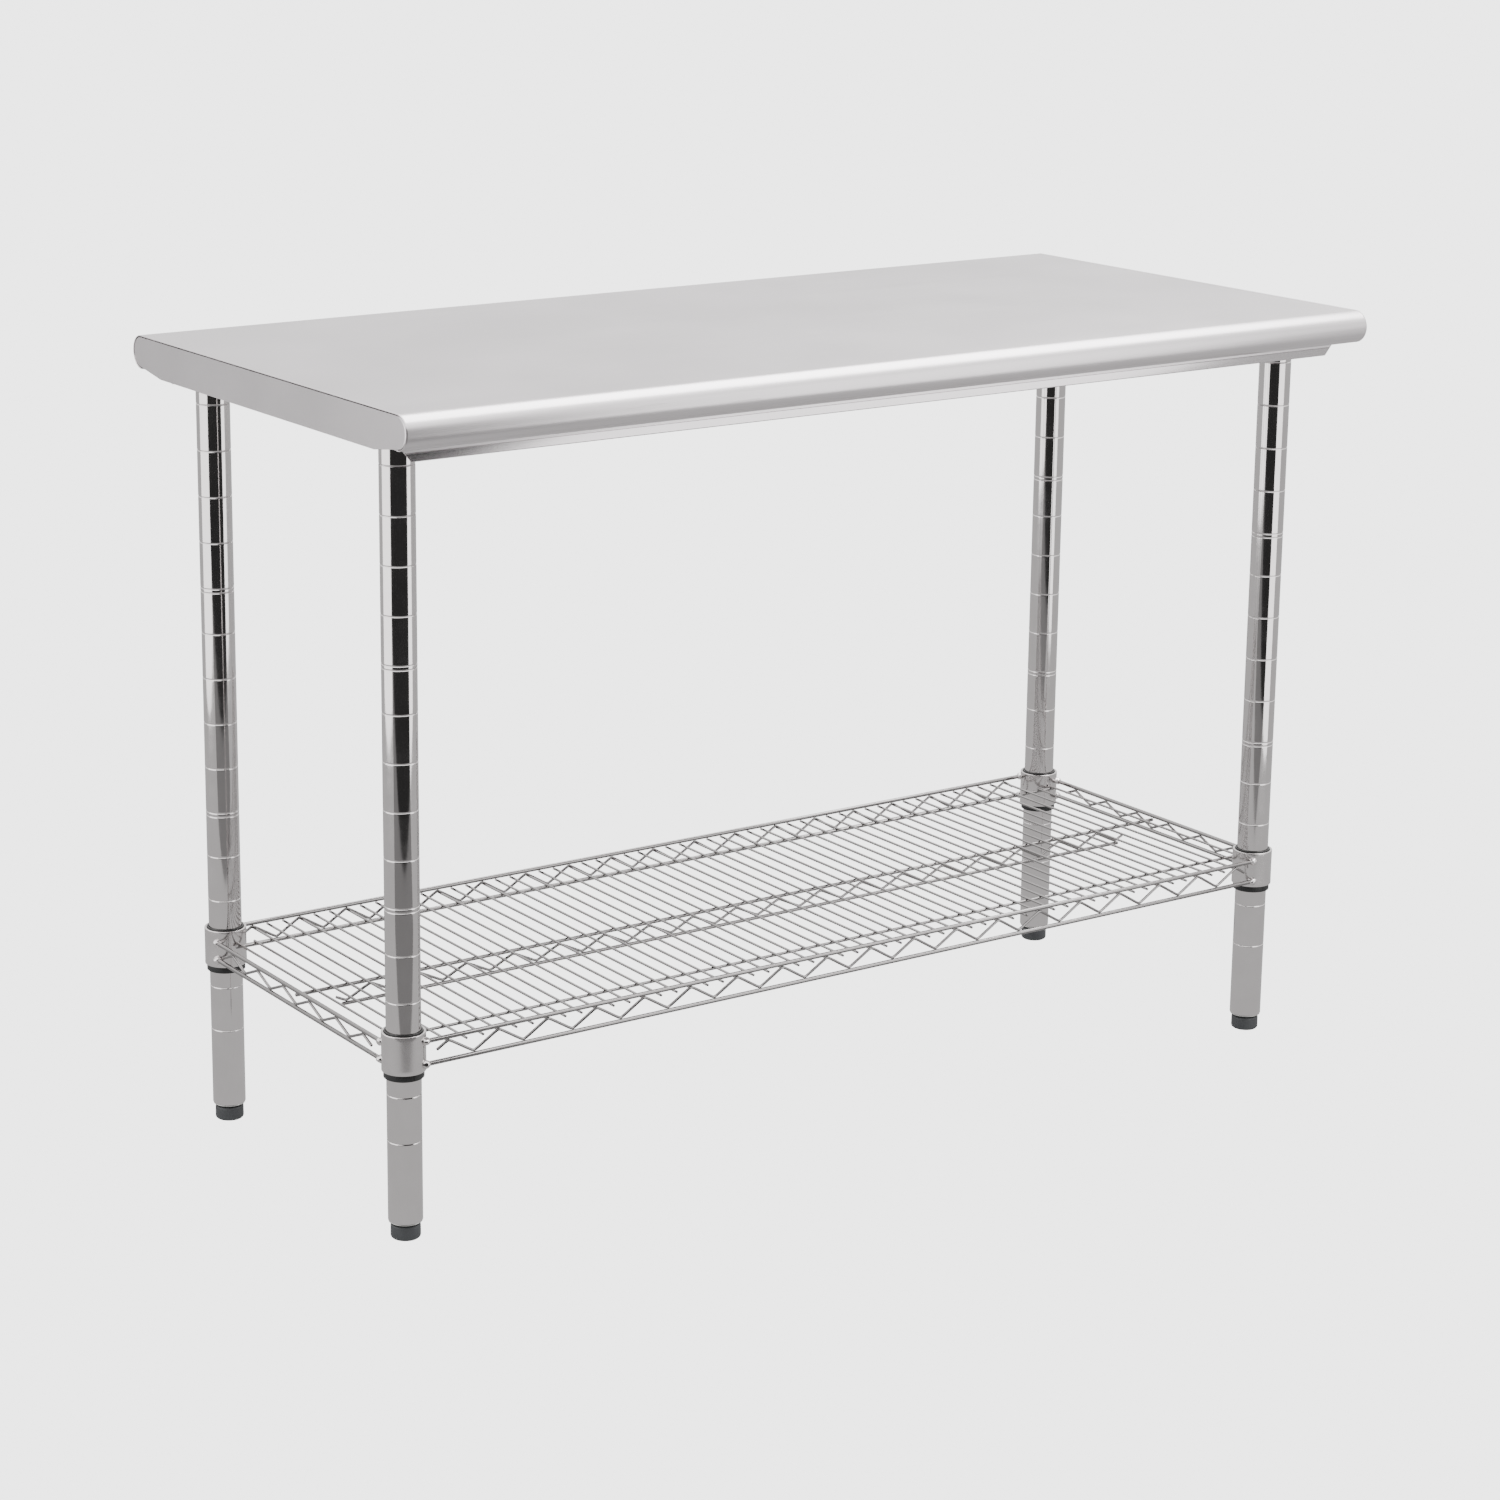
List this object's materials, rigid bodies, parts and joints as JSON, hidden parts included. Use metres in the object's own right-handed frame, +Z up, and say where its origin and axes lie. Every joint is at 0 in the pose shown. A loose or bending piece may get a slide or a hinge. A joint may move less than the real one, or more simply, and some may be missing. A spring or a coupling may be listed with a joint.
{
  "type": "stainless work table",
  "caption": "Stainless steel kitchen work table with a rolled-edge worktop on grooved round posts, a wire undershelf held by split sleeves, and levelling feet.",
  "frame": {"origin": "on the floor under the middle of the table", "axes": "+X along the worktop's length to the right, +Y from the front to the rear, +Z up"},
  "size_m": [1.264, 0.6, 0.886],
  "materials": {
    "stainless_sheet": "brushed",
    "chrome_plate": "bright",
    "galvanised_steel": "dull",
    "zinc_plate": "bright",
    "black_plastic": "satin",
    "foot_plastic": "matte"
  },
  "bodies": {
    "frame": {"post_front_left": "chrome_plate", "post_front_right": "chrome_plate", "post_insert_front_left": "zinc_plate", "post_insert_front_right": "zinc_plate", "post_insert_rear_left": "zinc_plate", "post_insert_rear_right": "zinc_plate", "post_rear_left": "chrome_plate", "post_rear_right": "chrome_plate", "shelf_sleeve_inner_front_left": "black_plastic", "shelf_sleeve_inner_front_right": "black_plastic", "shelf_sleeve_inner_rear_left": "black_plastic", "shelf_sleeve_inner_rear_right": "black_plastic", "shelf_sleeve_outer_front_left": "black_plastic", "shelf_sleeve_outer_front_right": "black_plastic", "shelf_sleeve_outer_rear_left": "black_plastic", "shelf_sleeve_outer_rear_right": "black_plastic", "top_sleeve_front_left": "black_plastic", "top_sleeve_front_right": "black_plastic", "top_sleeve_rear_left": "black_plastic", "top_sleeve_rear_right": "black_plastic"},
    "worktop": {"center_channel": "galvanised_steel", "cross_channel_left": "galvanised_steel", "cross_channel_right": "galvanised_steel", "end_panel_left": "stainless_sheet", "end_panel_right": "stainless_sheet", "top_socket_front_left": "chrome_plate", "top_socket_front_right": "chrome_plate", "top_socket_rear_left": "chrome_plate", "top_socket_rear_right": "chrome_plate", "worktop_sheet": "stainless_sheet"},
    "undershelf": {"shelf_collar_front_left": "chrome_plate", "shelf_collar_front_right": "chrome_plate", "shelf_collar_rear_left": "chrome_plate", "shelf_collar_rear_right": "chrome_plate", "shelf_front_bottom_rail": "chrome_plate", "shelf_front_top_rail": "chrome_plate", "shelf_front_zigzag": "chrome_plate", "shelf_left_bottom_rail": "chrome_plate", "shelf_left_top_rail": "chrome_plate", "shelf_left_zigzag": "chrome_plate", "shelf_middle_bottom_wire": "chrome_plate", "shelf_middle_top_wire": "chrome_plate", "shelf_middle_zigzag": "chrome_plate", "shelf_rear_bottom_rail": "chrome_plate", "shelf_rear_top_rail": "chrome_plate", "shelf_rear_zigzag": "chrome_plate", "shelf_right_bottom_rail": "chrome_plate", "shelf_right_top_rail": "chrome_plate", "shelf_right_zigzag": "chrome_plate", "shelf_surface_wires": "chrome_plate"},
    "foot_front_left": {"foot_base_front_left": "foot_plastic", "foot_stem_front_left": "zinc_plate"},
    "foot_front_right": {"foot_base_front_right": "foot_plastic", "foot_stem_front_right": "zinc_plate"},
    "foot_rear_left": {"foot_base_rear_left": "foot_plastic", "foot_stem_rear_left": "zinc_plate"},
    "foot_rear_right": {"foot_base_rear_right": "foot_plastic", "foot_stem_rear_right": "zinc_plate"}
  },
  "joints": [
    {"name": "worktop_lift", "type": "slide", "parent": "frame", "child": "worktop", "axis": [0, 0, 1], "range_m": [0, 0.1]},
    {"name": "undershelf_lift", "type": "slide", "parent": "frame", "child": "undershelf", "axis": [0, 0, 1], "range_m": [0, 0.55]},
    {"name": "foot_screw_front_left", "type": "slide", "parent": "frame", "child": "foot_front_left", "axis": [0, 0, -1], "range_m": [0, 0.02]},
    {"name": "foot_screw_front_right", "type": "slide", "parent": "frame", "child": "foot_front_right", "axis": [0, 0, -1], "range_m": [0, 0.02]},
    {"name": "foot_screw_rear_left", "type": "slide", "parent": "frame", "child": "foot_rear_left", "axis": [0, 0, -1], "range_m": [0, 0.02]},
    {"name": "foot_screw_rear_right", "type": "slide", "parent": "frame", "child": "foot_rear_right", "axis": [0, 0, -1], "range_m": [0, 0.02]}
  ]
}
